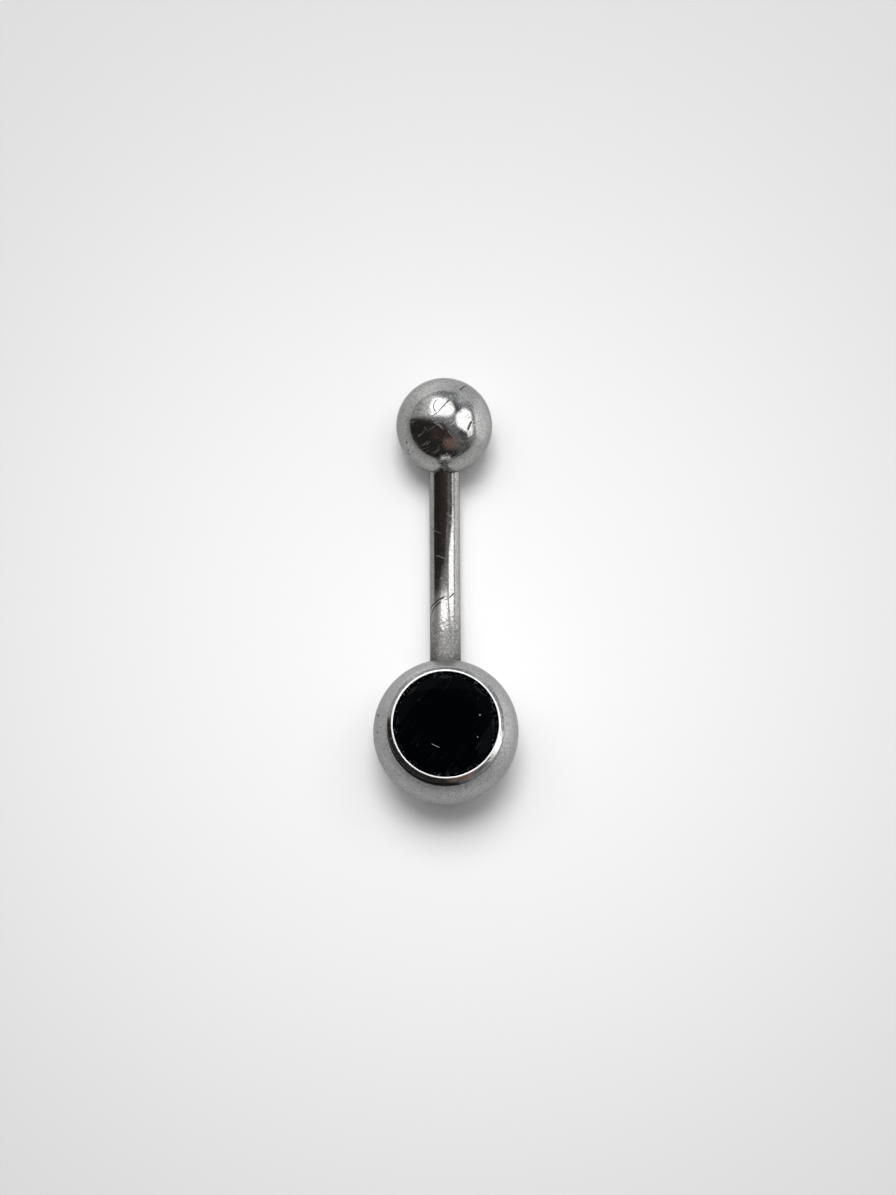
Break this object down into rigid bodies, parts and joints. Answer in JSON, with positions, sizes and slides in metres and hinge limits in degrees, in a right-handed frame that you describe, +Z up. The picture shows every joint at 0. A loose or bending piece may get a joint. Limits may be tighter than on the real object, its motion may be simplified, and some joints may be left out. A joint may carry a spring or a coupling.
{
  "type": "navel ring",
  "caption": "Curved steel bar with a plain screw-on ball above and a larger ball below that carries a black cut stone in a rubbed-over collar.",
  "frame": {"origin": "on the table under the middle of the ring, as it lies on its two balls", "axes": "+Y along the bar towards the screw-on ball, +X across the bar, +Z up, the way the stone faces"},
  "size_m": [0.0074, 0.0222, 0.008],
  "materials": {
    "bar_steel": "polished",
    "top_ball_steel": "polished",
    "gem_ball_steel": "polished",
    "black_crystal": "gloss"
  },
  "bodies": {
    "ring": {"bar": "bar_steel", "gem_ball": "gem_ball_steel", "stone": "black_crystal"},
    "screw_ball": {"top_ball": "top_ball_steel"}
  },
  "joints": [
    {"name": "unscrew", "type": "slide", "parent": "ring", "child": "screw_ball", "axis": [0, 0.9614, 0.275], "range_m": [0, 0.0035]}
  ]
}
